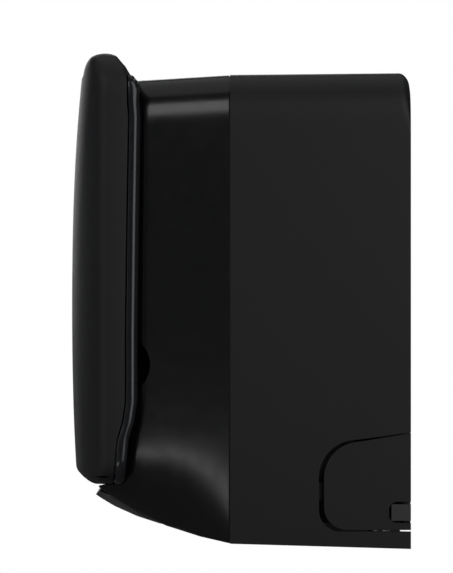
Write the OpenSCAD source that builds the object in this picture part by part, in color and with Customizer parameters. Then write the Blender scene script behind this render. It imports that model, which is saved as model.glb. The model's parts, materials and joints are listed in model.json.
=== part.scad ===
// Wall mounted soap dispenser with a push panel, built as separate pieces on seven moving bodies.
// Millimetres. X runs across the dispenser, the wall is the plane y = 0 and the front faces -Y.
// Levels are drawn from the bottom edge of the cover; at_mount() then puts the origin on the wall,
// in the middle of the four screw holes.

/* [Cover] */
// Width of the cover at the wall
cover_w = 124; // [122:1:128]
// Height of the cover at the wall
cover_h = 209; // [208:0.5:211]
// Depth from the wall to the seam between the two cover pieces
seam_d = 79.5; // [78:0.5:81]
// How far each side leans in per millimetre of depth, in front of the seam
taper = 0.32; // [0.31:0.01:0.33]
// Depth from the wall to the tip of the nose under the push panel
nose_d = 137.5; // [137:0.5:139]
// Wall thickness of the moulded covers
wall = 2.3; // [2:0.1:2.5]
// Rounding of the long top edges
top_r = 13; // [9:0.5:13.5]
// Width of the fine groove between the two cover pieces
seam_gap = 0.6; // [0.4:0.1:0.8]

/* [Push panel] */
// Width of the push panel over its gloss trim
panel_w = 112.4; // [112:0.2:113]
// Greatest depth of the panel's face from the wall
panel_d = 152; // [151.5:0.5:153]
// Height of the panel's crown above the bottom of the cover
panel_top = 218.4; // [218:0.2:219]
// Wall thickness of the panel
panel_wall = 2.4; // [2.2:0.1:2.5]
// Depth of the gloss trim, front to back
trim_d = 4.8; // [4:0.2:5.4]
// Depth of the panel's hinge pin from the wall
hinge_d = 128; // [127.6:0.2:128.4]
// Height of the panel's hinge pin above the bottom of the cover
hinge_h = 36; // [35.6:0.2:36.4]

/* [Side latches] */
// Clear gap in front of each latch
latch_gap = 2.2; // [1.8:0.1:2.4]
// Thickness of the latch paddle
latch_t = 2.2; // [2:0.1:2.4]

/* [Wall mount] */
// Height of the middle of the screw pattern above the bottom of the cover
mount_h = 105; // [104:0.5:106]
// Spacing of the wall screws across
screw_dx = 70; // [60:1:74]
// Spacing of the wall screws up and down
screw_dz = 110; // [100:1:114]
// Radius of the wall screw holes
screw_r = 2.75; // [2.2:0.05:3]

/* [Pump and refill] */
// Depth of the nozzle from the wall
nozzle_d = 78; // [77:0.5:79]
// Half width of the refill bottle
bottle_hw = 42; // [38:0.5:42.5]
// Height of the refill bottle's top
bottle_top = 189; // [170:1:190]

/* [Hidden] */
$fn = 64;
over = 1;                    // how far a cutter runs past the face that it opens
run_fit = 0.06;              // radial clearance of a pin that turns in its bore

cover_hw = cover_w / 2;
side_in = cover_hw - wall;   // inside face of the rear cover's sides
front_y = -121.5;            // front edge of the cover's sides, behind the panel
lip_tip = [-139, 22.6];      // foremost point of the floor plate's lip
lip_hw = 38;

plate_t = 3;
plate_hw = 57;
plate_top = 193;             // stays below the sweep of the cover's rear top edge
plate_foot = 8.5;

rod = [-9.2, cover_h - 8];   // cover hinge, depth and height
rod_r = 1.9;
knuckle_r = 4.4;
lug_x = [[-45, -40], [-4, 4], [40, 45]];
knuckle_x = [[-51.5, -45.5], [45.5, 51.5]];

floor_z = 8.5;
floor_t = 3;
floor_front = -104.4;
floor_hw = 55;               // beside the latches, which swing inwards
shield_x = 48.2;
floor_wide_hw = 58.6;        // in front of the latches
shelf_z = floor_z + floor_t; // underside of the back plate's shelf
floor_screw_at = [[-35, -12], [35, -12]];

yoke_pivot = [-14, 60];
yoke_bar = [-108, 150];      // cross bar that the panel pushes
yoke_fork = [-nozzle_d, 30]; // pins that lift the pump stem
yoke_x = [44, 47];
yoke_pin_r = 3;
cheek_x = [47.6, 50.6];

latch_pin = [56.3, -7];      // across and depth
latch_pin_r = 1.5;
latch_hinge_z = [31, 44];
latch_lug_z = [[22, 25.6], [44.4, 48]];
tongue = [-8.5, 12.4, 19.6]; // back plate tongue in the latch's slot: depth, lower and upper edge

hinge_pin_r = 2;
panel_pivot = [-hinge_d, hinge_h];
panel_lug_x = [30, 35];
panel_ear_x = [35.5, 39];
presser_z = [143, 168];
presser_hw = 18;
presser_y = -111.75;         // rear face of the presser, just in front of the yoke bar
bulkhead_y = [-119, -116.8];
roof_lip_y = -127.5;
stop_x = [28, 31];           // stop arms of the panel backing
stop_z = [96, 104];
backing_y = [-138, -136];
panel_screw_at = [[-40, 69], [40, 69], [-40, 178], [40, 178]];
cover_screw_at = [[-52.5, 20], [52.5, 20], [-52.5, 192], [52.5, 192]];

barrel_z = [44, 76];
chamber_z = [47, 70];
chamber_r = 8;
stem_r = 5;
stem_flange_z = [24.2, 32.6]; // lower faces of the two flanges that hold the yoke pins
neck_r = 14;
bottle_y = [-94, -10.6];
neck_z = [50, 62];

function arc(c, r, a0, a1, n = 8) =
    [for (i = [0 : n]) let (a = a0 + (a1 - a0) * i / n) [c[0] + r * cos(a), c[1] + r * sin(a)]];

// Half width of the cover at a depth in front of the seam
function lean_hw(y, t = 0) = cover_hw - t - taper * (-y - seam_d);

module at_mount() translate([0, 0, -mount_h]) children();
// A [y, z] outline carried across from x0 to x1
module across(x0, x1) translate([x0, 0, 0]) rotate([90, 0, 90]) linear_extrude(x1 - x0) children();
// An [x, z] outline carried back from y0 to y1
module back(y0, y1) translate([0, y1, 0]) rotate([90, 0, 0]) linear_extrude(y1 - y0) children();
module rod_x(x0, x1, r, p) translate([x0, p[0], p[1]]) rotate([0, 90, 0]) cylinder(h = x1 - x0, r = r);
module rod_y(y0, y1, r, p) translate([p[0], y1, p[1]]) rotate([90, 0, 0]) cylinder(h = y1 - y0, r = r);
module box(lo, hi) translate(lo) cube(hi - lo);
module both_sides() for (s = [0, 1]) mirror([s, 0, 0]) children();
// A flat arm from a to b with a round eye at b
module arm2d(a, b, w, eye_r) {
    d = b - a;
    translate(a) rotate(atan2(d[1], d[0])) translate([0, -w / 2]) square([norm(d), w]);
    translate(b) circle(eye_r);
}
// Front view of a cover: straight sides with rounded top corners, open below
module arch2d(hw, top, r) {
    translate([-hw, -20]) square([2 * hw, top + 20 - r]);
    translate([-hw + r, 0]) square([2 * (hw - r), top]);
    for (s = [-1, 1]) translate([s * (hw - r), top - r]) circle(r);
}
module rounded2d(x, z0, z1, r) {
    translate([-x + r, z0]) square([2 * (x - r), z1 - z0]);
    translate([-x, z0 + r]) square([2 * x, z1 - z0 - 2 * r]);
    for (s = [-1, 1], z = [z0 + r, z1 - r]) translate([s * (x - r), z]) circle(r);
}
// A coil of round wire about the Z axis, as one closed tube with a straight leg at each end
module coil(r, wire, turns, pitch, leg = 0, sides = 6, steps = 14) {
    n = turns * steps + 2;
    pts = [for (i = [0 : n], k = [0 : sides - 1])
           let (j = min(max(i - 1, 0), n - 2), a = 360 * j / steps, b = 360 * k / sides, q = r + wire * cos(b),
                run = i == 0 ? -leg : i == n ? leg : 0)
           [q * cos(a) - run * sin(a), q * sin(a) + run * cos(a), pitch * j / steps + wire * sin(b)]];
    walls = [for (i = [0 : n - 1], k = [0 : sides - 1]) let (k2 = (k + 1) % sides)
             [i * sides + k, (i + 1) * sides + k, (i + 1) * sides + k2, i * sides + k2]];
    ends = [[for (k = [0 : sides - 1]) k], [for (k = [sides - 1 : -1 : 0]) n * sides + k]];
    polyhedron(points = pts, faces = concat(walls, ends));
}
// A self-tapping screw along +Y with its head towards +Y
module screw_y(p, head_y, len, r = 1.5, head_r = 3, head_t = 2) {
    difference() {
        rod_y(head_y, head_y + head_t, head_r, p);
        box([p[0] - head_r, head_y + head_t - 0.8, p[1] - 0.4],
            [p[0] + head_r, head_y + head_t + over, p[1] + 0.4]);
    }
    rod_y(head_y - len, head_y, r, p);
}

// ---- fixed base ----

// Wall plate with the hinge lugs, yoke cheeks, latch lugs and the shelf for the floor
module back_plate() at_mount() color("#2a2a2b") difference() {
    union() {
        back(-plate_t, 0) rounded2d(plate_hw, plate_foot, plate_top, 6);
        for (x = lug_x) across(x[0], x[1]) {
            translate(rod) circle(knuckle_r);
            polygon([[-plate_t, 176], [-plate_t, plate_top - 2], [rod[0] + 3.4, rod[1] - 2.8],
                     [rod[0] - 4.2, rod[1] - 1.2]]);
        }
        box([-50, -22, shelf_z], [50, -plate_t, shelf_z + plate_t]);
        both_sides() {
            across(cheek_x[0], cheek_x[1]) polygon([[-plate_t, 44], [-16, 50], [-23, 56], [-23, 64], [-16, 70],
                                                    [-plate_t, 78]]);
            box([51.8, -6.5, 82], [53.8, -plate_t, 172]);
            for (z = latch_lug_z) box([52, -10.6, z[0]], [59, 0, z[1]]);
            box([52, tongue[0], tongue[1]], [cover_hw - 0.4, 0, tongue[2]]);
        }
    }
    for (x = [-1, 1], z = [-1, 1])
        rod_y(-plate_t - over, over, screw_r, [x * screw_dx / 2, mount_h + z * screw_dz / 2]);
    rod_x(-60, 60, rod_r + run_fit, rod);
    both_sides() rod_x(cheek_x[0] - over, cheek_x[1] + over, yoke_pin_r + run_fit, yoke_pivot);
    both_sides() translate([latch_pin[0], latch_pin[1], 20]) cylinder(h = 30, r = latch_pin_r + run_fit);
    for (p = floor_screw_at) translate([p[0], p[1], shelf_z - over]) cylinder(h = plate_t + 2 * over, r = 1.8);
}

lip_pts = [[-102, 8.9], [-106, 8.9], [-110.7, 10], [-120.5, 13.2], [-130.3, 17.6], lip_tip,
           [lip_tip[0] + 1.8, 24.2], [-130.3, 22], [-120.5, 17], [-114.6, 14], [-106, 11.1], [-102, 11.1]];

// Floor with the nozzle opening and two upright walls; its front edge is the thin lip under the nose
module floor_plate() at_mount() color("#262627") difference() {
    union() {
        translate([0, 0, floor_z]) linear_extrude(floor_t) {
            half = [[floor_hw, -plate_t - 0.2], [floor_hw, -44], [floor_wide_hw, -48], [floor_wide_hw, -68],
                    [floor_hw - 2, -82], [lip_hw + 1.5, floor_front]];
            polygon(concat(half, [for (i = [len(half) - 1 : -1 : 0]) [-half[i][0], half[i][1]]]));
        }
        // upright walls between the yoke and the side latches
        both_sides() box([shield_x, -56, floor_z + over], [shield_x + 1.2, -24, 53]);
        intersection() {
            across(-lip_hw, lip_hw) polygon(lip_pts);
            linear_extrude(60) polygon(concat([[lip_hw - 0.2, -100]], arc([lip_hw - 8.2, -131], 8, 0, -90),
                                              arc([8.2 - lip_hw, -131], 8, -90, -180), [[0.2 - lip_hw, -100]]));
        }
    }
    translate([0, -nozzle_d, 0]) cylinder(h = 30, r = 15);
    for (p = floor_screw_at) translate([p[0], p[1], 0]) cylinder(h = 30, r = 2.1);
}

module floor_screws() at_mount() color("silver") for (p = floor_screw_at) translate([p[0], p[1], floor_z]) {
    difference() {
        translate([0, 0, -2.2]) cylinder(h = 2.2, r = 3.6);
        box([-3.6, -0.45, -2.2 - over], [3.6, 0.45, -1.3]);
    }
    cylinder(h = 8, r = 1.75);
}

module hinge_rod() at_mount() color("silver") rod_x(-55, 55, rod_r, rod);

// Push-on rings that keep the hinge rod in place
module rod_clips() at_mount() color("silver") both_sides() difference() {
    rod_x(52.2, 53.2, 3.6, rod);
    rod_x(50, 55, rod_r, rod);
}

module latch_pins() at_mount() color("silver") both_sides()
    translate([latch_pin[0], latch_pin[1], 21]) cylinder(h = 28, r = latch_pin_r);

module yoke_pins() at_mount() color("silver") both_sides() {
    rod_x(43.4, cheek_x[1], yoke_pin_r, yoke_pivot);
    rod_x(cheek_x[1], cheek_x[1] + 1.6, 5, yoke_pivot);
}

// ---- refill ----

module bottle_block(inset) intersection() {
    back(bottle_y[0] + inset, bottle_y[1] - inset)
        rounded2d(bottle_hw - inset, neck_z[1] + inset, bottle_top - inset, 12 - inset);
    translate([0, (bottle_y[0] + bottle_y[1]) / 2, 0]) linear_extrude(240)
        square_round(bottle_hw - inset, (bottle_y[1] - bottle_y[0]) / 2 - inset, 14 - inset);
}
module square_round(x, y, r) {
    square([2 * (x - r), 2 * y], center = true);
    square([2 * x, 2 * (y - r)], center = true);
    for (s = [-1, 1], t = [-1, 1]) translate([s * (x - r), t * (y - r)]) circle(r);
}
// Blown refill bottle standing on its neck
module soap_bottle() at_mount() color("#dfe4e6") difference() {
    union() {
        bottle_block(0);
        translate([0, -nozzle_d, neck_z[0]]) cylinder(h = 20, r = neck_r);
    }
    bottle_block(1.3);
    translate([0, -nozzle_d, neck_z[0] - over]) cylinder(h = 20, r = neck_r - 1.8);
}

module bottle_collar() at_mount() color("#e9e9e6") translate([0, -nozzle_d, 0]) difference() {
    union() {
        translate([0, 0, 46.8]) cylinder(h = 13.7, r = 17);
        for (i = [0 : 23]) rotate(15 * i) translate([16.9, 0, 47.6]) cylinder(h = 12, r = 0.7, $fn = 6);
    }
    translate([0, 0, 49.8]) cylinder(h = 20, r = neck_r + 0.1);
    translate([0, 0, 40]) cylinder(h = 20, r = 12.1);
}

module neck_gasket() at_mount() color("#b9b9b4") translate([0, -nozzle_d, 49.8]) difference() {
    cylinder(h = 0.2, r = neck_r);
    translate([0, 0, -over]) cylinder(h = 4, r = 12.1);
}

// Pump barrel in the bottle's neck, with the inlet seat and ball cage at its inner end
module pump_housing() at_mount() color("#ececea") translate([0, -nozzle_d, 0]) difference() {
    union() {
        translate([0, 0, barrel_z[0]]) cylinder(h = barrel_z[1] - barrel_z[0], r = 12);
        translate([0, 0, barrel_z[1]]) cylinder(h = 7, r = 5.4);
    }
    translate([0, 0, chamber_z[0]]) cylinder(h = chamber_z[1] - chamber_z[0], r = chamber_r);
    translate([0, 0, barrel_z[0] - over]) cylinder(h = 6, r = stem_r + run_fit);
    translate([0, 0, chamber_z[1] - over]) cylinder(h = 10, r = 2);
    translate([0, 0, 75.2]) cylinder(h = 6, r = 3.4);
    for (a = [0, 90]) rotate(a) box([-8, -1.4, 78], [8, 1.4, 82]);
}

module inlet_ball() at_mount() color("silver") translate([0, -nozzle_d, 77.5]) sphere(2.8);

// ---- pump stem body ----

// Hollow stem with the lifting collar and the nozzle
module pump_stem() at_mount() color("#f2f2ef") translate([0, -nozzle_d, 0]) difference() {
    union() {
        translate([0, 0, 12]) cylinder(h = 44, r = stem_r);
        translate([0, 0, 6]) cylinder(h = 6, r1 = 3.6, r2 = stem_r);
        for (z = stem_flange_z) translate([0, 0, z]) cylinder(h = 3, r = 13);
        translate([0, 0, stem_flange_z[0]]) cylinder(h = 10, r = 8);
    }
    translate([0, 0, 5]) cylinder(h = 60, r = 1.8);
    translate([0, 0, 15.5]) cylinder(h = 5, r = 3);
    translate([0, 0, 5]) cylinder(h = 8, r = 2.4);
    difference() {
        translate([0, 0, 50.5]) cylinder(h = 3, r = stem_r + over);
        translate([0, 0, 50]) cylinder(h = 4, r = 3.6);
    }
}

// Lip seal that is pushed on the stem's groove
module piston_seal() at_mount() color("#3b3b3d") translate([0, -nozzle_d, 50.5]) difference() {
    union() {
        cylinder(h = 3, r = 6.4);
        cylinder(h = 1, r = chamber_r - run_fit);
        translate([0, 0, 2]) cylinder(h = 1, r = chamber_r - run_fit);
    }
    translate([0, 0, -over]) cylinder(h = 6, r = 3.6);
}

module outlet_valve() at_mount() color("#c9c4b8") translate([0, -nozzle_d, 15.6]) difference() {
    union() {
        cylinder(h = 1.2, r = 2.9);
        translate([0, 0, 1]) cylinder(h = 3.6, r1 = 2.3, r2 = 1.2);
    }
    translate([0, 0, -over]) cylinder(h = 4.8, r1 = 1.7, r2 = 0.7);
    box([-2, -0.15, 2], [2, 0.15, 6]);
}

module pump_spring() at_mount() color("silver") translate([0, -nozzle_d, 56.6])
    coil(r = 4, wire = 0.55, turns = 5, pitch = 2.4, leg = 1);

// ---- yoke ----

// Two side arms from the wall plate to the cross bar behind the panel and to the stem
module push_yoke() at_mount() color("#d8d9da") {
    both_sides() {
        difference() {
            across(yoke_x[0], yoke_x[1]) {
                arm2d(yoke_pivot, yoke_bar, 8, 5);
                arm2d(yoke_pivot, yoke_fork, 7, 4.5);
                translate(yoke_pivot) circle(7);
            }
            rod_x(yoke_x[0] - over, yoke_x[1] + over, yoke_pin_r + run_fit, yoke_pivot);
        }
        rod_x(9, yoke_x[0] + over, 2.2, yoke_fork);
    }
    rod_x(-yoke_x[0] - over, yoke_x[0] + over, 3.4, yoke_bar);
}

// ---- cover ----

// Notch in the cover's side around the latch, open to the wall
notch_pts = concat([[over, 51.4]], arc([-23.8, 31.3], 16.5, 90, 180), arc([-29.9, 17], 10.4, 180, 270),
                   [[over, 6.6]]);
rear_pts = [[0, 0], [-seam_d + seam_gap / 2, 2.3], [-seam_d + seam_gap / 2, cover_h - 0.7], [-4.8, cover_h],
            [-1.8, cover_h - 3.3], [0, cover_h - 8.2]];

module rear_cover() at_mount() color("#202021") {
    difference() {
        union() {
            difference() {
                intersection() {
                    across(-cover_hw, cover_hw) polygon(rear_pts);
                    back(-seam_d - over, over) arch2d(cover_hw, cover_h, top_r);
                }
                intersection() {
                    box([-side_in, -seam_d - over, -over], [side_in, over, cover_h - wall - 0.4]);
                    back(-seam_d - over, over) arch2d(side_in, cover_h - wall - 0.4, top_r - wall);
                }
            }
            for (x = knuckle_x) across(x[0], x[1]) {
                translate(rod) circle(knuckle_r);
                translate([rod[0] - knuckle_r, rod[1]]) square([2 * knuckle_r, cover_h - wall - rod[1]]);
            }
            for (p = cover_screw_at)
                box([min(p[0], sign(p[0]) * side_in) - (p[0] > 0 ? 4.2 : 0), -seam_d + 0.6, p[1] - 5],
                    [max(p[0], sign(p[0]) * side_in) + (p[0] > 0 ? 0 : 4.2), -seam_d + 2.8, p[1] + 5]);
            both_sides() box([57.2, -47, 18], [side_in + 0.5, -45, 32]);
        }
        both_sides() across(side_in - over, cover_hw + over) polygon(notch_pts);
        rod_x(-60, 60, rod_r + run_fit, rod);
        for (p = cover_screw_at) rod_y(-seam_d, -seam_d + 4, 1.7, p);
    }
}

// Everything inside one leaning side: its rounded top edge runs parallel to the side and falls slightly to the front
lean = atan(taper);
roof_fall = 2.6;
module lean_side(t) translate([cover_hw - t, -seam_d, cover_h - 0.7 - t]) rotate(-lean) rotate([roof_fall, 0, 0])
    back(-80, 12) {
        r = top_r - t;
        translate([-160, -260]) square([160, 260 - r]);
        translate([-160, -r - over]) square([160 - r, r + over]);
        translate([-r, -r]) circle(r);
    }
module lean_block(t) intersection() {
    lean_side(t);
    mirror([1, 0, 0]) lean_side(t);
    box([-cover_hw, -nose_d - 0.1, 0], [cover_hw, -seam_d, cover_h]);
}
front_rear = -seam_d - seam_gap / 2;
front_top = [[front_rear, cover_h - 0.7], [front_y, cover_h - 2.6]];
nose_pts = [[-92.4, 4.8], [-107, 8.9], [-114.6, 12], [-120.5, 15.5], [-130.3, 21.5], [-nose_d, 26.2]];
front_pts = concat([front_top[0], [front_rear, 2.4]], nose_pts,
    [[-131.5, 26.9], [-127.6, 30], [-125.2, 36], [-123.4, 46], [-122, 60], [front_y, 75], front_top[1]]);
nose_floor_pts = [[-105.5, 12], [-114.6, 14.7], [-120.5, 17.7], [-130.3, 22.8], [-nose_d, 24.9], [-nose_d, 26.6],
                  [-131, 26.4], [-129.5, 25.6], [-120, 20.2], [-114, 17], [-105.5, 14.2]];
// Space inside the leaning cover, open at the back, front and bottom
hollow_pts = [front_top[0] + [over, -wall], [front_rear + over, -over], [-nose_d - over, -over],
              [-nose_d - over, front_top[1][1] - wall - 0.7], front_top[1] - [0, wall]];

module front_cover() at_mount() color("#111112") {
    difference() {
        union() {
            intersection() {
                across(-cover_hw, cover_hw) polygon(front_pts);
                difference() {
                    lean_block(0);
                    intersection() {
                        lean_block(wall);
                        across(-cover_hw, cover_hw) polygon(hollow_pts);
                    }
                }
            }
            // floor of the nose
            intersection() {
                across(-cover_hw, cover_hw) polygon(nose_floor_pts);
                lean_block(0.5);
            }
            // bulkhead behind the panel, with the hinge lugs
            intersection() {
                box([-60, bulkhead_y[0], 17.2], [60, bulkhead_y[1], cover_h - wall - 1.5]);
                lean_block(0.5);
            }
            both_sides() across(panel_lug_x[0], panel_lug_x[1]) {
                translate(panel_pivot) circle(4.4);
                polygon([[bulkhead_y[1], 22], [bulkhead_y[1], 52], panel_pivot + [0.6, 4.3],
                         panel_pivot + [0.6, -4.3]]);
            }
            for (p = cover_screw_at) intersection() {
                rod_y(-98, front_rear, 3.3, p);
                lean_block(0.5);
            }
            // locating strips that reach behind the rear cover
            both_sides() box([side_in - 1.9, -seam_d - 5, 28], [side_in - 0.2, -seam_d + 4.5, 184]);
            box([-45, -seam_d - 5, cover_h - wall - 2.6], [45, -seam_d + 4.5, cover_h - wall - 0.9]);
            // roof lip under the panel's crown
            box([-44, roof_lip_y, front_top[1][1] - wall - 0.4], [44, front_y + over, front_top[1][1] - 0.4]);
        }
        // finger recesses just behind the panel
        across(-cover_hw, cover_hw) translate([-127.5, 80.5]) circle(13);
        box([-26, -125, 132], [26, -110, 182]);
        both_sides() box([stop_x[0] - 1.2, -125, stop_z[0] - 6], [stop_x[1] + 1.4, -110, stop_z[1] + 4]);
        for (p = cover_screw_at) rod_y(-92, -70, 1.52, p);
        both_sides() rod_x(panel_lug_x[0] - over, panel_lug_x[1] + over, hinge_pin_r, panel_pivot);
    }
}

module cover_screws() at_mount() color("silver") for (p = cover_screw_at)
    screw_y(p, -seam_d + 2.8, 13.5);

module panel_hinge_pin() at_mount() color("silver")
    rod_x(-40, 40, hinge_pin_r, panel_pivot);

// ---- push panel ----

face_mid = 106;              // level at which the panel's face stands out furthest
face_curve = 0.00061;        // how fast the face falls back above and below that level
function face_y(z, t = 0) = -(panel_d - t - face_curve * pow(z - face_mid, 2));
// Side outline of the panel, from its lower rear edge round the face and crown to the upper rear edge
function panel_pts(t) = concat(
    [[-132 + t, 27.6 + t], [-140.5 + t / 2, 27.6 + t], [-147 + t, 31.5 + t]],
    [for (z = [38 : 12 : 206]) [face_y(z, t), z]],
    arc([-134.6, 208], 10.4 - t, 165, 60),
    t == 0 ? [[-123.8, 210.2], [-121.6, 206.6]] : [[-115, 208.6], [-115, 200]]);
rim_pts = [[-119.6, 201], [-118.6, 190], [-119.4, 144], [-120, 96], [-120, 64], [-121.4, 55], [-124.2, 46],
           [-126, 36], [-128.8, 30.6]];
module panel_side(t) polygon(concat(panel_pts(t), t == 0 ? rim_pts : [[-110, 190], [-110, 20]]));
panel_hw = panel_w / 2;
// Plan outline: a shallow arc across the face, then straight sides back to the rim
module panel_plan(t) polygon(concat([[panel_hw - t, -100]], [[panel_hw - t, -119]],
    arc([0, -panel_d + 103], 103 - t, -61, -119, 16), [[-panel_hw + t, -119], [-panel_hw + t, -100]]));
module panel_solid(t) intersection() {
    across(-panel_hw, panel_hw) panel_side(t);
    linear_extrude(240) panel_plan(t);
    back(-panel_d - over, -100) union() {
        rounded2d(panel_hw - t, 60, panel_top + 2 - t, 20 - t);
        rounded2d(panel_hw - t, 27.6 + t, 120, 8 - t);
    }
}
// The panel's rear edge moved forwards by the depth of the trim
trim_line = concat([[-100, 240], [-132, 240], [-128.6, 212]], [for (p = rim_pts) p - [trim_d, 0]],
                   [[-136, 27], [-136, 0], [-100, 0]]);

module push_panel() at_mount() color("#262628") difference() {
    union() {
        difference() {
            panel_solid(0);
            panel_solid(panel_wall);
            across(-80, 80) polygon(trim_line);
        }
        for (p = panel_screw_at) intersection() {
            rod_y(-panel_d, backing_y[0], 3.4, p);
            panel_solid(1);
        }
    }
    for (p = panel_screw_at) rod_y(-141.8, backing_y[0] + over, 1.52, p);
}

module panel_trim() at_mount() color("#3a3d42") difference() {
    intersection() {
        panel_solid(0);
        across(-80, 80) polygon(trim_line);
    }
    panel_solid(panel_wall);
}

// Inner frame with the hinge ears, the presser and the stop arms
module panel_backing() at_mount() color("#303032") difference() {
    union() {
        back(backing_y[0], backing_y[1]) rounded2d(45.4, 44, 196, 8);
        both_sides() {
            across(panel_ear_x[0], panel_ear_x[1]) {
                translate(panel_pivot) circle(4.4);
                polygon([[backing_y[0], 46], [backing_y[0], 62], [backing_y[1], 62], panel_pivot + [3, 3.3],
                         panel_pivot + [-4.2, -1.6]]);
            }
            box([presser_hw - 3, backing_y[0], presser_z[0]], [presser_hw, presser_y, presser_z[1]]);
            box([stop_x[0], backing_y[0], stop_z[0]], [stop_x[1], -113, stop_z[1]]);
            box([stop_x[1] - over, -116.2, stop_z[0]], [stop_x[1] + 3.2, -113, stop_z[1]]);
        }
        box([-presser_hw, presser_y - 2.4, presser_z[0]], [presser_hw, presser_y, presser_z[1]]);
    }
    both_sides() rod_x(panel_ear_x[0] - over, panel_ear_x[1] + over, hinge_pin_r + run_fit, panel_pivot);
    for (p = panel_screw_at) rod_y(backing_y[0] - over, backing_y[1] + over, 1.7, p);
    for (x = [-38, 38]) rod_y(backing_y[0] - over, backing_y[1] + over, 2, [x, 190]);
}

module panel_screws() at_mount() color("silver") for (p = panel_screw_at)
    screw_y(p, backing_y[1], 5.6);

// Rubber stops at the top of the backing
module panel_bumpers() at_mount() color("#171717") for (x = [-38, 38]) {
    rod_y(backing_y[1], -131, 4, [x, 190]);
    rod_y(backing_y[0] - 1.5, backing_y[1], 2, [x, 190]);
    rod_y(backing_y[0] - 2.5, backing_y[0], 2.8, [x, 190]);
}

// ---- side latches ----

paddle_pts = concat([[0, 50.8], [-22.1, 47.1]], arc([-22.1, 31.1], 18.2 - latch_gap, 90, 180),
                    arc([-28.1, 18.3], 12.2 - latch_gap, 180, 270), [[0, 8.3]]);
// D-shaped squeeze paddle flush with the cover's side, slotted round the back plate's tongue
module side_latch() difference() {
    union() {
        difference() {
            across(cover_hw - latch_t, cover_hw) polygon(paddle_pts);
            across(cover_hw - latch_t - over, cover_hw + over) {
                translate([-6, tongue[1] - 1]) square([8, tongue[2] - tongue[1] + 2]);
                translate([-6, tongue[1] + 2.6]) circle(3.6);
                translate([-6, tongue[2] - 2.6]) circle(3.6);
            }
        }
        translate([latch_pin[0], latch_pin[1], latch_hinge_z[0]])
            cylinder(h = latch_hinge_z[1] - latch_hinge_z[0], r = 3.3);
        box([latch_pin[0], latch_pin[1] - 2.2, latch_hinge_z[0]],
            [cover_hw - latch_t + 0.2, latch_pin[1] + 2.2, latch_hinge_z[1]]);
        box([54.8, -36, 21], [cover_hw - latch_t + 0.2, -34, 29]);
        box([54.8, -50, 21], [56.8, -34, 29]);
        box([54.8, -50, 21], [57, -47.8, 29]);
        for (z = [14.5, 31, 40])
            box([cover_hw - latch_t - 1, -32, z], [cover_hw - latch_t + 0.2, -14, z + 1.4]);
    }
    translate([latch_pin[0], latch_pin[1], 20]) cylinder(h = 30, r = latch_pin_r + run_fit);
}
module side_latch_right() at_mount() color("#222223") side_latch();
module side_latch_left() at_mount() color("#222223") mirror([1, 0, 0]) side_latch();

module latch_spring() translate([latch_pin[0], latch_pin[1], 26.9]) rotate(180)
    coil(r = 2.3, wire = 0.35, turns = 4.25, pitch = 0.8, leg = 3, steps = 16);
module latch_spring_right() at_mount() color("silver") latch_spring();
module latch_spring_left() at_mount() color("silver") mirror([1, 0, 0]) latch_spring();

back_plate();
floor_plate();
floor_screws();
hinge_rod();
rod_clips();
latch_pins();
yoke_pins();
soap_bottle();
bottle_collar();
neck_gasket();
pump_housing();
inlet_ball();
rear_cover();
front_cover();
cover_screws();
panel_hinge_pin();
push_panel();
panel_trim();
panel_backing();
panel_screws();
panel_bumpers();
push_yoke();
pump_stem();
piston_seal();
outlet_valve();
pump_spring();
side_latch_right();
side_latch_left();
latch_spring_right();
latch_spring_left();
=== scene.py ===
import json
import math

import bmesh
import bpy
import numpy as np
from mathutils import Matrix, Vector


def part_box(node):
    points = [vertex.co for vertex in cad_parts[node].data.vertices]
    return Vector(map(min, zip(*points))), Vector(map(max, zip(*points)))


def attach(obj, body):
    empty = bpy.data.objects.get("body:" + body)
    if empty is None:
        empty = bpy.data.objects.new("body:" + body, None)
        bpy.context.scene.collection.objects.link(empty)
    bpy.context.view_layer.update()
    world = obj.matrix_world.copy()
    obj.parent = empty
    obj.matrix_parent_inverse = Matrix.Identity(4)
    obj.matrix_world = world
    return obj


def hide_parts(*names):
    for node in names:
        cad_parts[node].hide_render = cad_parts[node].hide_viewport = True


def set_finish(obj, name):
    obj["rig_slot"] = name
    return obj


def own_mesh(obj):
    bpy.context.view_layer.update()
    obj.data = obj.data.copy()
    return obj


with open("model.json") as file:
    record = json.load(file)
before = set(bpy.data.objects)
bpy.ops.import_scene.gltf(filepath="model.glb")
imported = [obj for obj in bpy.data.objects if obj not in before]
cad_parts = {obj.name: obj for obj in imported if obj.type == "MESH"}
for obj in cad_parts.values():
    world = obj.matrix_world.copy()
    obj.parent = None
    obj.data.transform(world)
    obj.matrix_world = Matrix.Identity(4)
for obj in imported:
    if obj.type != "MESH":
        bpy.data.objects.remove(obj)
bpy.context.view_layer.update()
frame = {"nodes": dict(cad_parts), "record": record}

mm = 0.001
nodes = frame["nodes"]
coverLow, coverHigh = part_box("rear_cover")
panelLow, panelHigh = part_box("push_panel")
foot = coverLow.z                 # every level below is counted from the cover's bottom edge
print("frame loaded:", len(nodes), "nodes")


def linearColour(code):
    # sRGB hex to linear light: c/12.92 near black, else ((c+0.055)/1.055)^2.4
    parts = [int(code[i:i + 2], 16) / 255 for i in (1, 3, 5)]
    return [c / 12.92 if c <= 0.04045 else ((c + 0.055) / 1.055) ** 2.4 for c in parts] + [1.0]


def addNode(tree, kind, values=None, links=None, **settings):
    # one node with its own settings, its socket values and the links that come in
    node = tree.nodes.new(kind)
    for key, value in settings.items():
        setattr(node, key, value)
    for key, value in (values or {}).items():
        node.inputs[key].default_value = value
    for key, socket in (links or {}).items():
        tree.links.new(socket, node.inputs[key])
    return node


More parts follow.
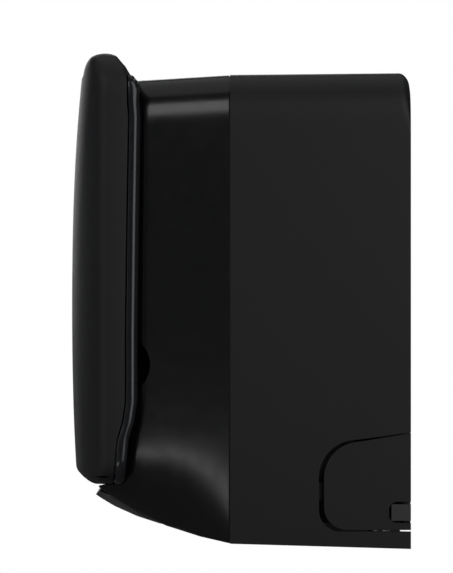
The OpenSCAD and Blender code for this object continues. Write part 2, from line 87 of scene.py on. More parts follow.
def placePiece(name, mesh, body, slot, smoothAngle):
    # smooth shading up to an angle between faces; the piece rides on its body
    mesh.shade_smooth()
    mesh.set_sharp_from_angle(angle=math.radians(smoothAngle))
    piece = bpy.data.objects.new(name, mesh)
    bpy.context.scene.collection.objects.link(piece)
    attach(piece, body)
    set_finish(piece, slot)
    return piece


def newPiece(name, points, faces, body, slot, smoothAngle=35):
    # points in metres; faces are turned round when their signed volume comes out negative
    mesh = bpy.data.meshes.new(name)
    mesh.from_pydata(points.tolist(), [], faces.tolist())
    work = bmesh.new()
    work.from_mesh(mesh)
    bmesh.ops.remove_doubles(work, verts=work.verts, dist=2e-6)
    bmesh.ops.dissolve_degenerate(work, edges=work.edges, dist=1e-6)
    if work.calc_volume(signed=True) < 0:
        bmesh.ops.reverse_faces(work, faces=work.faces)
    work.to_mesh(mesh)
    work.free()
    return placePiece(name, mesh, body, slot, smoothAngle)


def shellFaces(rows, cols):
    # quads over the outer grid, the same quads turned round over the inner grid, and a strip along the border
    index = np.arange(rows * cols).reshape(rows, cols)
    quads = np.stack([index[:-1, :-1], index[1:, :-1], index[1:, 1:], index[:-1, 1:]], -1).reshape(-1, 4)
    border = np.concatenate([index[0, :-1], index[:-1, -1], index[-1, :0:-1], index[:0:-1, 0]])
    after = np.roll(border, -1)
    strip = np.stack([border, after, after + rows * cols, border + rows * cols], -1)
    return np.concatenate([quads, quads[:, ::-1] + rows * cols, strip])


def shellPiece(name, outer, inner, body, slot, smoothAngle=35):
    # a closed wall between two grids of the same size
    rows, cols = outer.shape[:2]
    points = np.concatenate([outer.reshape(-1, 3), inner.reshape(-1, 3)])
    return newPiece(name, points, shellFaces(rows, cols), body, slot, smoothAngle)


def roundEdges(piece, width, angle=40):
    # a small rounding, in millimetres, on every edge sharper than the angle
    bevel = piece.modifiers.new("edges", "BEVEL")
    bevel.width = width * mm
    bevel.segments = 2
    bevel.limit_method = "ANGLE"
    bevel.angle_limit = math.radians(angle)
    return piece


def mergedCopy(node, name, body, slot, flat=1.0):
    # a copy of a CAD node with its doubles merged and its flat faces joined, so that its edges can be rounded
    mesh = nodes[node].data.copy()
    mesh.name = name
    mesh.materials.clear()
    work = bmesh.new()
    work.from_mesh(mesh)
    bmesh.ops.remove_doubles(work, verts=work.verts, dist=2e-6)
    bmesh.ops.dissolve_limit(work, angle_limit=math.radians(flat), verts=work.verts, edges=work.edges,
                             delimit=set())
    work.to_mesh(mesh)
    work.free()
    piece = placePiece(name, mesh, body, slot, 30)
    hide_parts(node)
    return piece


def cuttingTool(points, faces):
    # a closed mesh that is only used to cut with, its faces turned outwards
    mesh = bpy.data.meshes.new("tool")
    mesh.from_pydata(points.tolist(), [], faces)
    work = bmesh.new()
    work.from_mesh(mesh)
    bmesh.ops.recalc_face_normals(work, faces=work.faces)
    work.to_mesh(mesh)
    work.free()
    tool = bpy.data.objects.new("tool", mesh)
    bpy.context.scene.collection.objects.link(tool)
    return tool


def cutWith(piece, tool, operation):
    # the piece's solid less the tool's, or what the two share; the tool is removed
    cut = piece.modifiers.new("cut", "BOOLEAN")
    cut.operation = operation
    cut.solver = "EXACT"
    cut.object = tool
    evaluated = piece.evaluated_get(bpy.context.evaluated_depsgraph_get())
    mesh = bpy.data.meshes.new_from_object(evaluated)
    piece.modifiers.clear()
    piece.data = mesh
    bpy.data.objects.remove(tool)


def cutAcross(piece, outline, x0, x1):
    # takes away an outline of (depth, level) points carried straight across from x0 to x1
    count = len(outline)
    ring = np.array([(y, z + foot / mm) for y, z in outline])
    points = np.vstack([np.column_stack([np.full(count, x), ring]) for x in (x0, x1)]) * mm
    sides = [(i, (i + 1) % count, (i + 1) % count + count, i + count) for i in range(count)]
    ends = [list(range(count)), list(range(2 * count - 1, count - 1, -1))]
    cutWith(piece, cuttingTool(points, ends + sides), "DIFFERENCE")


def arcPoints(centre, radius, start, end, count):
    # points along a circle from one angle to another, in degrees
    turn = np.radians(np.linspace(start, end, count))
    return [(centre[0] + radius * math.cos(a), centre[1] + radius * math.sin(a)) for a in turn]


cover = {
    "halfWidth": coverHigh.x / mm,
    "height": (coverHigh.z - foot) / mm,
    "seam": -coverLow.y / mm + 0.3,    # middle of the fine groove between the two halves
    "gap": 0.3,                        # half the groove
    "wall": 2.3,
    "topRadius": 13.0,
    "topTall": 22.0,                   # how far down the side the roof's rounding reaches
    "roofFall": 0.7,                   # how much lower the roof is at the seam than at the wall
    "frontFall": 0.0455,               # fall of the roof per millimetre of depth, in front of the seam
    "lean": 0.32,                      # inward lean of a side per millimetre of depth, in front of the seam
    "rearRound": 5.0,                  # depth of the rounding at the wall
    "rearDrop": 7.6,                   # and how far the roof drops over it
    "lowRise": 2.3,                    # how much higher the bottom edge is at the seam
    "notchTop": (2, 51.4),             # D-shaped notch: rear ends, and centre and radius of its two arcs
    "notchUpper": ((-23.8, 31.3), 16.5),
    "notchLower": ((-31.0, 17), 9.3),
    "notchFoot": (2, 7.7),
    "sweepRoom": [(-3, 195), (1, 195), (1, 206.25), (-3, 206.25)],   # for the wall plate's top, cover up
    "sweepHalf": 48.5,
}


def coverHalf(y):
    # half width at a depth: constant behind the seam, leaning in before it
    return cover["halfWidth"] - cover["lean"] * np.maximum(-y - cover["seam"], 0)


def rearTop(y):
    # roof line: a slight slope, rounded down as a quarter ellipse before the wall
    reach = cover["rearRound"]
    fall = cover["roofFall"] * np.clip(-y - reach, 0, None) / (cover["seam"] - reach)
    near = np.clip((y + reach) / reach, 0, 1)
    return cover["height"] - fall - cover["rearDrop"] * (1 - np.sqrt(np.clip(1 - near ** 2, 0, 1)))


def frontTop(y):
    # roof line in front of the seam: a straight slope down
    return cover["height"] - cover["roofFall"] - cover["frontFall"] * (-y - cover["seam"])


def softArc(turn):
    # width of a rounding at a turn: (1 - s^2.6)^0.5 with s its height share, so that it starts without a line
    return np.sqrt(np.clip(1 - np.abs(np.sin(turn)) ** 2.6, 0, 1))


def archHalf(half, low, top, inset, steps):
    # right half of a cover's section, from the bottom edge up the side, round the corner and along the roof
    up = np.linspace(0, 1, steps[0])[:-1]
    turn = np.radians(np.linspace(0, 90, steps[1]))
    along = np.linspace(1, 0, steps[2])[1:]
    half, low, top = (np.asarray(v, float)[:, None] for v in (half, low, top))
    radius = cover["topRadius"]
    tall = cover["topTall"]
    x = np.hstack([(half - inset) + 0 * up, half - radius + (radius - inset) * softArc(turn),
                   (half - radius) * along])
    z = np.hstack([low + (top - tall - low) * up, top - tall + (tall - inset) * np.sin(turn),
                   top - inset + 0 * along])
    return x, z


def mirrorAcross(x, y, z):
    # joins the right half to its mirror image; the last column lies on the middle plane
    grid = np.stack([np.hstack([x, -x[:, -2::-1]]), np.hstack([y, y[:, -2::-1]]),
                     np.hstack([z, z[:, -2::-1]])], -1)
    grid[..., 2] += foot / mm
    return grid * mm


def makeRearCover():
    # the arch section carried from the seam to the wall, its wall thinning out over the last 5 mm
    seam = -cover["seam"] + cover["gap"]
    depth = np.concatenate([np.linspace(seam, -6, 26), np.linspace(-5, 0, 12)])
    low = cover["lowRise"] * -depth / cover["seam"]
    reach = cover["rearRound"]
    thin = cover["wall"] * (1 - 0.87 * np.clip((depth + reach) / reach, 0, 1))[:, None]
    grids = []
    for inset in (0.0, thin):
        x, z = archHalf(coverHalf(depth), low, rearTop(depth), inset, (26, 16, 10))
        grids.append(mirrorAcross(x, depth[:, None] + 0 * x, z))
    piece = shellPiece("rearCoverShell", grids[0], grids[1], "cover", "cover_satin")
    upper = arcPoints(*cover["notchUpper"], 90, 180, 18)
    lower = arcPoints(*cover["notchLower"], 180, 270, 14)
    notch = [cover["notchTop"]] + upper + lower + [cover["notchFoot"]]
    for side in (-1, 1):
        cutAcross(piece, notch, side * (cover["halfWidth"] - 5), side * (cover["halfWidth"] + 4))
    cutAcross(piece, cover["sweepRoom"], -cover["sweepHalf"], cover["sweepHalf"])
    piece.data.set_sharp_from_angle(angle=math.radians(35))
    roundEdges(piece, 0.45, 50)
    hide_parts("rear_cover")
    return [piece, innerCopy("rear_cover", "rearCoverFittings", "cover_satin")]


nose = {
    "depth": 137.4,
    "lowDepth": [79.8, 92.4, 107, 114.6, 120.5, 130.3, 137.4],      # bottom edge, depth from the wall
    "lowLevel": [2.4, 4.8, 8.9, 12.0, 15.5, 21.5, 26.1],
    "roundDepth": [79.8, 92, 104, 114, 122, 130, 137.4],            # rounding of the bottom edge
    "roundRadius": [2.6, 7.5, 12.0, 12.5, 9.5, 6.8, 4.6],           # how far it draws in
    "roundHeight": [52.0, 50.0, 46.0, 43.0, 38.0, 32.0, 16.0],      # how far up the side it reaches
    "edgeLevel": [27.1, 27.4, 30.0, 36.0, 46.0, 60.0, 75.0, 206.4],  # front edge behind the panel
    "edgeDepth": [137.4, 128.9, 127.3, 125.2, 123.4, 122.0, 121.5, 121.5],
    "recess": (-127.5, 80.5, 13.0),                                 # finger recess: depth, level, radius
    "bowl": 5.5,                                                    # depth of the bowl behind it
    "bowlWall": 1.4,
}


def innerCopy(node, name, slot):
    # the fittings inside a cover half: the CAD node cut by the cover's own section, drawn in by the wall; the
    # section's lower edge draws in as the shell's does
    inset = cover["wall"] - 0.1
    depth = np.concatenate([np.linspace(-140, -cover["seam"], 40), np.linspace(-cover["seam"] + 1, 0.5, 12)])
    front = depth < -cover["seam"]
    top = np.where(front, frontTop(depth), rearTop(np.minimum(depth, -6)))
    low = np.where(front, np.interp(-depth, nose["lowDepth"], nose["lowLevel"]) + inset, -5.0)
    x, z = archHalf(coverHalf(depth), low, top, inset, (60, 14, 8))
    if node == "front_cover":
        reach = np.interp(-depth, nose["roundDepth"], nose["roundHeight"])[:, None]
        drawIn = np.interp(-depth, nose["roundDepth"], nose["roundRadius"])[:, None]
        below = np.clip(1 - (z - low[:, None]) / reach, 0, 1)
        x = x - np.where(x > 20, drawIn * (1 - np.sqrt(1 - below ** 2.6)), 0)
    grid = mirrorAcross(x, depth[:, None] + 0 * x, z)
    rows, cols = grid.shape[:2]
    index = np.arange(rows * cols).reshape(rows, cols)
    after = np.roll(index, -1, axis=1)
    walls = np.stack([index[:-1], after[:-1], after[1:], index[1:]], -1).reshape(-1, 4).tolist()
    tool = cuttingTool(grid.reshape(-1, 3), walls + [index[0].tolist(), index[-1][::-1].tolist()])
    piece = mergedCopy(node, name, "cover", slot)
    cutWith(piece, tool, "INTERSECT")
    piece.data.set_sharp_from_angle(angle=math.radians(30))
    return piece


def recessPocket(side):
    # a shallow bowl behind a finger recess: radius and turn about its axis, the depth a quarter circle
    depth, level, radius = nose["recess"]
    out = np.linspace(0, 1, 12)[:, None]
    turn = np.radians(np.linspace(-78, 78, 40))[None, :]
    reach = (radius + 0.6) * out
    y = depth + reach * np.cos(turn)
    z = level + reach * np.sin(turn)
    grids = []
    for wall in (0.0, nose["bowlWall"]):
        x = side * (coverHalf(y) - 1.6 - nose["bowl"] * np.sqrt(1 - 0.98 * out ** 2) - wall)
        grids.append(np.stack([x, y, z + foot / mm], -1) * mm)
    name = "recessPocketRight" if side > 0 else "recessPocketLeft"
    return shellPiece(name, grids[0], grids[1], "cover", "cover_gloss", 60)


def seamArch(name, depth, sectionAt, low, insets):
    # a thin arch along the seam: the cover's section at the given depths, between two insets
    grids = []
    for inset in insets:
        x, z = archHalf(coverHalf(sectionAt), np.full(depth.shape, low), frontTop(sectionAt), inset,
                        (12, 14, 8))
        grids.append(mirrorAcross(x, depth[:, None] + 0 * x, z))
    return shellPiece(name, grids[0], grids[1], "cover", "cover_gloss")


def makeFrontCover():
    # stations run forward from the seam; each is a section whose depth follows the front edge's outline
    station = np.concatenate([np.linspace(0, 0.02, 3), np.linspace(0.04, 1, 58)])
    seam = -cover["seam"] - cover["gap"]
    lowY = seam - station * (nose["depth"] + seam)
    frontEdge = -nose["edgeDepth"][-1]
    lo = np.interp(-lowY, nose["lowDepth"], nose["lowLevel"])[:, None]
    hi = frontTop(seam + station * (frontEdge - seam))[:, None]
    roundIn = np.interp(-lowY, nose["roundDepth"], nose["roundRadius"])[:, None]
    roundUp = np.interp(-lowY, nose["roundDepth"], nose["roundHeight"])[:, None]
    top = cover["topRadius"]
    tall = cover["topTall"]
    turnLow = np.radians(np.linspace(-90, 0, 16))
    turnTop = np.radians(np.linspace(0, 90, 18))
    up = np.concatenate([np.linspace(0, 0.3, 22), np.linspace(0.3, 1, 22)[1:]])[1:-1]
    along = np.linspace(1, 0, 10)[1:]
    grids = []
    for inset in (0.0, cover["wall"]):
        innerRound = np.maximum(roundIn - inset, 0.3)
        z = np.hstack([lo + roundUp + (roundUp - inset) * np.sin(turnLow),
                       lo + roundUp + (hi - tall - lo - roundUp) * up,
                       hi - tall + (tall - inset) * np.sin(turnTop), hi - inset + 0 * along])
        drawn = np.hstack([roundIn - innerRound * softArc(turnLow), inset + 0 * up + 0 * lo,
                           top - (top - inset) * softArc(turnTop) + 0 * lo, top + 0 * along + 0 * lo])
        share = np.clip((z - lo) / (hi - lo), 0, 1)
        edgeZ = nose["lowLevel"][-1] + share * (frontTop(frontEdge) - nose["lowLevel"][-1])
        edgeY = -np.interp(edgeZ, nose["edgeLevel"], nose["edgeDepth"])
        y = seam + station[:, None] * (edgeY - seam)
        x = coverHalf(y) - drawn
        x[:, -along.size:] = x[:, -along.size - 1:-along.size] * along
        grids.append(mirrorAcross(x, y, z))
    piece = shellPiece("frontCoverShell", grids[0], grids[1], "cover", "cover_gloss", 40)
    depth, level, radius = nose["recess"]
    for side in (-1, 1):
        cutAcross(piece, arcPoints((depth, level), radius, 0, 352.5, 48), side * 30, side * 64)
    piece.data.set_sharp_from_angle(angle=math.radians(40))
    roundEdges(piece, 0.4, 50)
    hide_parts("front_cover")
    wall = cover["wall"]
    lipDepth = np.linspace(seam + 5.4, seam - 1.5, 8)      # reaches behind the rear half
    lip = seamArch("frontCoverSeamLip", lipDepth, np.minimum(lipDepth, seam), 7.0, (wall + 0.02, wall + 1.1))
    grooveDepth = np.linspace(seam + 2 * cover["gap"], seam, 3)
    groove = seamArch("frontCoverGroove", grooveDepth, np.full(3, -cover["seam"]), 2.55, (0.3, wall + 0.1))
    return [piece, lip, groove, recessPocket(1), recessPocket(-1),
            innerCopy("front_cover", "frontCoverFittings", "cover_gloss")]


panel = {
    "halfWidth": panelHigh.x / mm,
    "depth": -panelLow.y / mm,
    "faceLevel": 106.0,           # where the face stands out furthest
    "faceCurve": 0.00061,         # how fast it falls back above and below, per square millimetre
    "archCentre": -49.0,          # the face's arc across the front
    "archRadius": 103.0,
    "sideFrom": -119.0,           # the sides lean in from this depth on
    "sideLean": -0.30,
    "crown": (134.6, 208.0, 10.4),         # rounded crown: depth, level, radius
    "roof": (129.4, 217.0, 0.772, 0.636),  # slope behind it: depth, level, and the two parts of its normal
    "outline": (36.2, 200.4, 20.0),        # upper corners seen from the front: half width, level, radius
    "under": (27.05, 138.5),               # underside: level, and depth where its chamfer starts
    "corner": (48.2, 35.6, 8.0),           # lower corners seen from the front
    "wall": 2.4,
    "trim": 4.8,                  # depth of the gloss strip
    "crownTrim": 5.0,             # and how much deeper it is over the crown
    "trimBulge": 0.8,
    "soft": 1.8,                  # how softly the face and the sides run into each other
    "spine": (48.0, 196.0),       # levels between which the rays start that find the surface
    "spineBack": 6.0,
    "rimLevel": [30.6, 36, 46, 55, 64, 96, 144, 190, 201],
    "rimDepth": [128.8, 126, 124.2, 121.4, 120, 120, 119.4, 118.6, 119.6],
    "slit": [(-140.5, 30.9), (-132.8, 30.9), (-132.4, 31.7), (-140.8, 31.7)],
    "roofRoom": [(-133, 195), (-110, 195), (-110, 208.3), (-133, 208.3)],   # for the cover's roof, pushed
    "roofRoomHalf": 53.2,
}


def softMax(a, b, width):
    # the larger of two distances, blended over a width where they are nearly equal
    mix = np.clip(0.5 + 0.5 * (a - b) / width, 0, 1)
    return b + (a - b) * mix + width * mix * (1 - mix)


def roundedCorner(x, z, place):
    # distance to a corner's circle: the hypotenuse of what lies past its centre, less its radius
    return np.hypot(np.maximum(x - place[0], 0), np.maximum(z, 0)) - place[2]


def panelField(p):
    # distance-like field of the panel: face, crown, leaning sides, rounded front outline and underside
    x, y, z = np.abs(p[..., 0]), p[..., 1], p[..., 2]
    faceY = -(panel["depth"] - panel["faceCurve"] * (z - panel["faceLevel"]) ** 2)
    archY = panel["archCentre"] - np.sqrt(np.maximum(panel["archRadius"] ** 2 - np.minimum(x, 90) ** 2, 0))
    face = softMax(faceY - y, archY - y, 6.0) * 0.93
    ahead = y - panel["sideFrom"]
    side = (x - panel["halfWidth"]) * 0.95 - ahead * panel["sideLean"] * (ahead < 0)
    depth, level, radius = panel["crown"]
    crown = np.hypot(y + depth, z - level) - radius
    roofDepth, roofLevel, alongY, alongZ = panel["roof"]
    roof = alongY * (y + roofDepth) + alongZ * (z - roofLevel)
    top = np.maximum(roof, np.where(z > level, crown, -radius))
    outline = roundedCorner(x, z - panel["outline"][1], panel["outline"])
    corner = roundedCorner(x, panel["corner"][1] - z, panel["corner"])
    underLevel, chamferDepth = panel["under"]
    under = np.maximum(underLevel - z, 0.86 * (underLevel - z) + 0.5 * (-chamferDepth - y))
    field = softMax(face, side, panel["soft"])
    field = softMax(field, top, 1.5)
    field = softMax(field, outline, 3.0)
    field = softMax(field, under, 2.0)
    return softMax(field, corner, 1.5)


def spineAt(rise):
    # level on the spine for a rise from 0 to 1, and the depth of the panel's rim there
    lowest, highest = panel["spine"]
    level = np.clip(rise, 0, 1) * (highest - lowest) + lowest
    return level, -np.interp(level, panel["rimLevel"], panel["rimDepth"])


def panelSurface(azimuth, rise, offset):
    # along each ray from a spine inside the panel, the point where the field reaches the offset, by halving
    level, rim = spineAt(rise)
    tilt = np.radians(np.where(rise < 0, rise * 90, np.where(rise > 1, (rise - 1) * 90, 0)))
    back = np.where(rise < 0, -panel["spineBack"] * np.sin(-tilt), 0)
    origin = np.stack([0 * level, rim + back, level], -1)
    heading = np.stack([np.sin(azimuth) * np.cos(tilt), -np.cos(azimuth) * np.cos(tilt),
                        np.sin(tilt) + 0 * azimuth], -1)
    near, far = np.zeros(heading.shape[:2]), np.full(heading.shape[:2], 90.0)
    for _ in range(34):
        middle = (near + far) / 2
        outside = panelField(origin + heading * middle[..., None]) > offset
        far = np.where(outside, middle, far)
        near = np.where(outside, near, middle)
    points = origin + heading * ((near + far) / 2)[..., None]
    points[..., 2] += foot / mm
    return points * mm


def trimEdge(rise, extra):
    # azimuth at which the surface stands the trim's depth in front of the rim, found by repeated correction
    tilt = np.where(rise > 1, np.cos(np.radians((rise - 1) * 90)), 1.0)
    wanted = panel["trim"] + extra + panel["crownTrim"] * (1 - tilt)
    below = np.radians(np.clip(-rise, 0, 1) * 90)
    rim = spineAt(rise)[1] - panel["spineBack"] * np.sin(below)
    azimuth = np.full(rise.shape, np.radians(85.0))
    for _ in range(6):
        point = panelSurface(azimuth, rise, 0.0) / mm
        ahead = (rim - point[..., 1]) / np.maximum(np.cos(azimuth), 1e-4)
        share = wanted * np.cos(below) / np.maximum(ahead, 0.1)
        azimuth = np.arccos(np.clip(share, 0, 1))
    return azimuth


def makePanel():
    # rows from the lower pole, up the side and over to the upper pole
    rise = np.concatenate([np.linspace(-1, 0, 20)[:-1], np.linspace(0, 1, 90), 1 + np.linspace(0, 1, 44)[1:]])
    rise = rise[:, None]
    azimuth = trimEdge(rise, 0.7) * np.linspace(-1, 1, 150)[None, :]
    rows = rise + 0 * azimuth
    piece = shellPiece("pushPanelSkin", panelSurface(azimuth, rows, 0.0),
                       panelSurface(azimuth, rows, -panel["wall"]), "panel", "panel_satin", 50)
    for side in (-1, 1):
        cutAcross(piece, panel["slit"], side * 49.5, side * 60)
    cutAcross(piece, panel["roofRoom"], -panel["roofRoomHalf"], panel["roofRoomHalf"])
    piece.data.set_sharp_from_angle(angle=math.radians(50))
    roundEdges(piece, 0.5, 55)
    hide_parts("push_panel")
    pieces = [piece]
    edge = trimEdge(rise, 0.0)
    across = np.linspace(0, 1, 13)[None, :]
    fade = np.clip((1.2 - rise) / 0.25, 0, 1)              # the strip lies flush over the crown
    bulge = panel["trimBulge"] * np.sin(np.pi * across) ** 0.7 * fade - 0.2
    for side, name in ((-1, "panelTrimLeft"), (1, "panelTrimRight")):
        azimuth = side * (edge + (np.radians(90) - edge) * across)
        rows = rise + 0 * azimuth
        trim = shellPiece(name, panelSurface(azimuth, rows, bulge),
                          panelSurface(azimuth, rows, 0.3 - panel["wall"]), "panel", "trim_gloss", 50)
        roundEdges(trim, 0.3, 55)
        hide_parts("panel_trim")
        pieces.append(trim)
    return pieces


def makeSpring():
    # the CAD coil, merged and given a mesh of its own; it keeps its modelled length and does not shorten as
    # the stem rises
    coil = mergedCopy("pump_spring", "pumpSpringCoil", "base", "steel", 0.01)
    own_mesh(coil)
    return coil


def makeMaterial(name, look):
    # a plastic, rubber or metal: two close colours in broad patches, roughness that varies with a fine
    # surface grain, and the same grain as bump; every pattern's size is in millimetres
    material = bpy.data.materials.new(name)
    material.use_nodes = True
    tree = material.node_tree
    tree.nodes.clear()
    place = addNode(tree, "ShaderNodeTexCoord").outputs["Object"]
    broad = addNode(tree, "ShaderNodeTexNoise",
                    {"Scale": 1000 / look["patch"], "Detail": 3.0, "Roughness": 0.55}, {"Vector": place})
    grain = addNode(tree, "ShaderNodeTexNoise",
                    {"Scale": 1000 / look["grain"], "Detail": 2.0, "Roughness": 0.5}, {"Vector": place})
    colour = addNode(tree, "ShaderNodeValToRGB", links={"Fac": broad.outputs["Fac"]})
    ends = colour.color_ramp.elements
    for element, position, shade in zip(ends, (0.35, 0.65), ("dark", "light")):
        element.position = position
        element.color = linearColour(look[shade])
    low, high = look["roughness"]
    gloss = addNode(tree, "ShaderNodeMapRange",
                    {"From Min": 0.3, "From Max": 0.7, "To Min": low, "To Max": high},
                    {"Value": grain.outputs["Fac"]})
    bump = addNode(tree, "ShaderNodeBump", {"Strength": look["bump"], "Distance": look["bumpDepth"] * mm},
                   {"Height": grain.outputs["Fac"]})
    values = {"Metallic": look.get("metallic", 0.0)}
    if not look.get("metallic"):                          # a metal keeps the shader's own IOR
        values["IOR"] = look.get("ior", 1.53)
        values["Specular IOR Level"] = look.get("specular", 0.5)
        values["Subsurface Weight"] = look.get("milky", 0.0)
        values["Subsurface Radius"] = (0.004, 0.004, 0.004)
    shader = addNode(tree, "ShaderNodeBsdfPrincipled", values,
                     {"Base Color": colour.outputs["Color"], "Roughness": gloss.outputs["Result"],
                      "Normal": bump.outputs["Normal"]})
    addNode(tree, "ShaderNodeOutputMaterial", links={"Surface": shader.outputs["BSDF"]})
    return material


finishes = {
    # moulded ABS with a spark-eroded satin grain: even dark grey with soft, wide highlights
    "cover_satin": {"name": "mouldedAbsSatin", "dark": "#111112", "light": "#131314", "patch": 38,
                    "grain": 0.55, "roughness": (0.40, 0.50), "bump": 0.35, "bumpDepth": 0.03,
                    "specular": 0.38},
    # moulded ABS from a polished tool: near black with clear, slightly soft reflections
    "cover_gloss": {"name": "mouldedAbsGloss", "dark": "#0d0d0d", "light": "#0f0f10", "patch": 45,
                    "grain": 6.0, "roughness": (0.17, 0.21), "bump": 0.05, "bumpDepth": 0.02,
                    "specular": 0.42},
    # moulded ABS with a fine etched grain: a little lighter and duller than the cover
    "panel_satin": {"name": "mouldedAbsEtched", "dark": "#121213", "light": "#141415", "patch": 30,
                    "grain": 0.7, "roughness": (0.46, 0.58), "bump": 0.45, "bumpDepth": 0.04,
                    "specular": 0.38},
    # polished ABS strip: dark with sharp bright lines along its curve
    "trim_gloss": {"name": "polishedAbsStrip", "dark": "#15161a", "light": "#18191d", "patch": 25,
                   "grain": 5.0, "roughness": (0.14, 0.20), "bump": 0.04, "bumpDepth": 0.02},
    # moulded ABS frame parts, left as moulded: plain dark grey
    "frame_plastic": {"name": "mouldedAbsFrame", "dark": "#303031", "light": "#38383a", "patch": 22,
                      "grain": 0.8, "roughness": (0.45, 0.6), "bump": 0.4, "bumpDepth": 0.04},
    # moulded acetal: waxy light grey with a faint sheen
    "yoke_plastic": {"name": "mouldedAcetal", "dark": "#aeb1b3", "light": "#bcbfc1", "patch": 18,
                     "grain": 1.2, "roughness": (0.32, 0.42), "bump": 0.2, "bumpDepth": 0.03,
                     "milky": 0.08},
    # blown polyethylene: milky, soft highlights, slightly uneven wall
    "bottle_plastic": {"name": "blownPolyethylene", "dark": "#d3d9dc", "light": "#e2e7e9", "patch": 26,
                       "grain": 7.0, "roughness": (0.3, 0.42), "bump": 0.25, "bumpDepth": 0.12,
                       "milky": 0.35},
    # moulded polypropylene: off-white and slightly translucent
    "pump_plastic": {"name": "mouldedPolypropylene", "dark": "#dddcd7", "light": "#e8e7e3", "patch": 15,
                     "grain": 1.5, "roughness": (0.28, 0.38), "bump": 0.15, "bumpDepth": 0.03,
                     "milky": 0.15},
    # nitrile rubber: black, dull, with a dusty bloom
    "seal_rubber": {"name": "nitrileRubber", "dark": "#232324", "light": "#303031", "patch": 8,
                    "grain": 0.5, "roughness": (0.65, 0.85), "bump": 0.4, "bumpDepth": 0.04, "ior": 1.52},
    # silicone rubber: pale, soft sheen
    "valve_silicone": {"name": "siliconeRubber", "dark": "#c2bcae", "light": "#cec9bd", "patch": 6,
                       "grain": 0.6, "roughness": (0.45, 0.6), "bump": 0.2, "bumpDepth": 0.03,
                       "milky": 0.3, "ior": 1.41},
    # zinc plated steel: bright grey metal with faint drawing marks
    "steel": {"name": "zincPlatedSteel", "dark": "#a9abad", "light": "#bfc1c4", "patch": 5,
              "grain": 0.4, "roughness": (0.22, 0.36), "bump": 0.15, "bumpDepth": 0.01, "metallic": 1.0},
}


def paintEverything(pieces):
    made = {slot: makeMaterial(look["name"], look) for slot, look in finishes.items()}
    slotOf = {part["node"]: part["material_slot"] for part in frame["record"]["subparts"]}
    for name, node in nodes.items():
        node.data.materials.clear()
        node.data.materials.append(made[slotOf[name]])
    for piece in pieces:
        piece.data.materials.clear()
        piece.data.materials.append(made[piece["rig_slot"]])


studio = {
    "camera": {"distance": 2.0, "long": 278.0, "depth": -0.0808, "level": 0.010},
    "floor": {"level": -0.16, "size": 1.15, "colour": "#8c8c8c"},
    "air": {"colour": "#8f9296", "strength": 0.33},
    "lights": [
        # name, place, aimed at, width, height, watts
        ("topSoftbox", (0, -0.1, 1.7), (0, -0.1, 0), 2.4, 2.6, 8.5),
        ("frontSoftbox", (0.35, -1.7, 0.3), (0, -0.1, 0), 0.8, 1.3, 1.6),
        ("rearFill", (-1.5, -0.5, 0.5), (0, -0.08, 0), 1.0, 1.0, 6),
        ("bandSoftbox", (1.45, -1.15, 0.72), (0, -0.1, 0.09), 1.0, 0.55, 4.2),
        ("sideSoftbox", (1.6, 0.6, 0.4), (0, -0.05, 0), 0.8, 1.4, 6.0),
        ("lowStrip", (0.46, -0.46, -0.14), (0.05, -0.13, -0.05), 0.26, 0.05, 0.09),
    ],
}


def cameraSwitch(tree, output, others, seen):
    # one shader for what the camera sees directly, the other for all that the object reflects or is lit by
    path = addNode(tree, "ShaderNodeLightPath")
    mix = addNode(tree, "ShaderNodeMixShader", links={0: path.outputs["Is Camera Ray"], 1: others.outputs[0],
                                                      2: seen.outputs[0]})
    addNode(tree, output, links={"Surface": mix.outputs[0]})


def makeFloor(place):
    size, z = place["size"], place["level"]
    corners = [(-size, -size, z), (size, -size, z), (size, size, z), (-size, size, z)]
    mesh = bpy.data.meshes.new("floor")
    mesh.from_pydata(corners, [], [(0, 1, 2, 3)])
    floor = bpy.data.objects.new("floor", mesh)
    bpy.context.scene.collection.objects.link(floor)
    paint = bpy.data.materials.new("paintedFloor")
    paint.use_nodes = True
    tree = paint.node_tree
    tree.nodes.clear()
    matt = addNode(tree, "ShaderNodeBsdfDiffuse", {"Color": linearColour(place["colour"])})
    glow = addNode(tree, "ShaderNodeEmission", {"Color": (1, 1, 1, 1), "Strength": 1.0})
    cameraSwitch(tree, "ShaderNodeOutputMaterial", matt, glow)
    mesh.materials.append(paint)


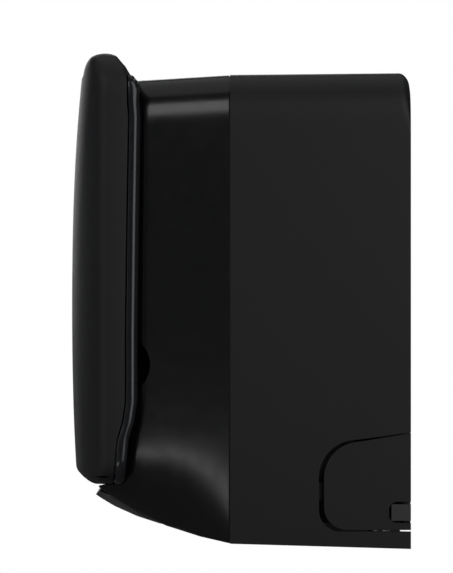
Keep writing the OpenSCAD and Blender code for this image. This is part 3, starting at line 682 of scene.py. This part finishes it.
def makeStudio():
    makeFloor(studio["floor"])
    for name, place, target, width, height, watts in studio["lights"]:
        data = bpy.data.lights.new(name, "AREA")
        data.shape = "RECTANGLE"
        data.size = width
        data.size_y = height
        data.energy = watts
        light = bpy.data.objects.new(name, data)
        light.location = place
        light.rotation_euler = (Vector(target) - Vector(place)).to_track_quat("-Z", "Y").to_euler()
        bpy.context.scene.collection.objects.link(light)
    air = studio["air"]
    world = bpy.data.worlds.new("studioAir")
    world.use_nodes = True
    tree = world.node_tree
    tree.nodes.clear()
    dim = addNode(tree, "ShaderNodeBackground",
                  {"Color": linearColour(air["colour"]), "Strength": air["strength"]})
    bright = addNode(tree, "ShaderNodeBackground", {"Color": linearColour("#ffffff"), "Strength": 1.0})
    cameraSwitch(tree, "ShaderNodeOutputWorld", dim, bright)
    bpy.context.scene.world = world
    view = studio["camera"]
    data = bpy.data.cameras.new("camera")
    data.lens = view["long"]
    data.sensor_width = 36
    data.clip_end = 50
    camera = bpy.data.objects.new("camera", data)
    camera.location = (view["distance"], view["depth"], view["level"])
    camera.rotation_euler = (math.radians(90), 0, math.radians(90))
    bpy.context.scene.collection.objects.link(camera)
    bpy.context.scene.camera = camera
    bpy.context.scene.view_settings.view_transform = "Standard"


# CAD shapes that only need their edges rounded: node, piece, body, slot, width of the rounding
mouldings = [
    ("side_latch_right", "sideLatchRight", "latch_right", "cover_satin", 0.35),
    ("side_latch_left", "sideLatchLeft", "latch_left", "cover_satin", 0.35),
    ("back_plate", "backPlateMoulding", "base", "frame_plastic", 0.4),
    ("floor_plate", "floorPlateMoulding", "base", "frame_plastic", 0.4),
    ("push_yoke", "pushYokeMoulding", "yoke", "yoke_plastic", 0.4),
    ("panel_backing", "panelBackingMoulding", "panel", "frame_plastic", 0.3),
]

pieces = makeRearCover()
print("rear cover made")
pieces += makeFrontCover()
print("front cover made")
pieces += makePanel()
print("panel made")
for node, name, body, slot, width in mouldings:
    pieces.append(roundEdges(mergedCopy(node, name, body, slot), width))
print("edges rounded")
pieces.append(makeSpring())
print("spring made")
paintEverything(pieces)
print("materials made")
makeStudio()
print("studio set")
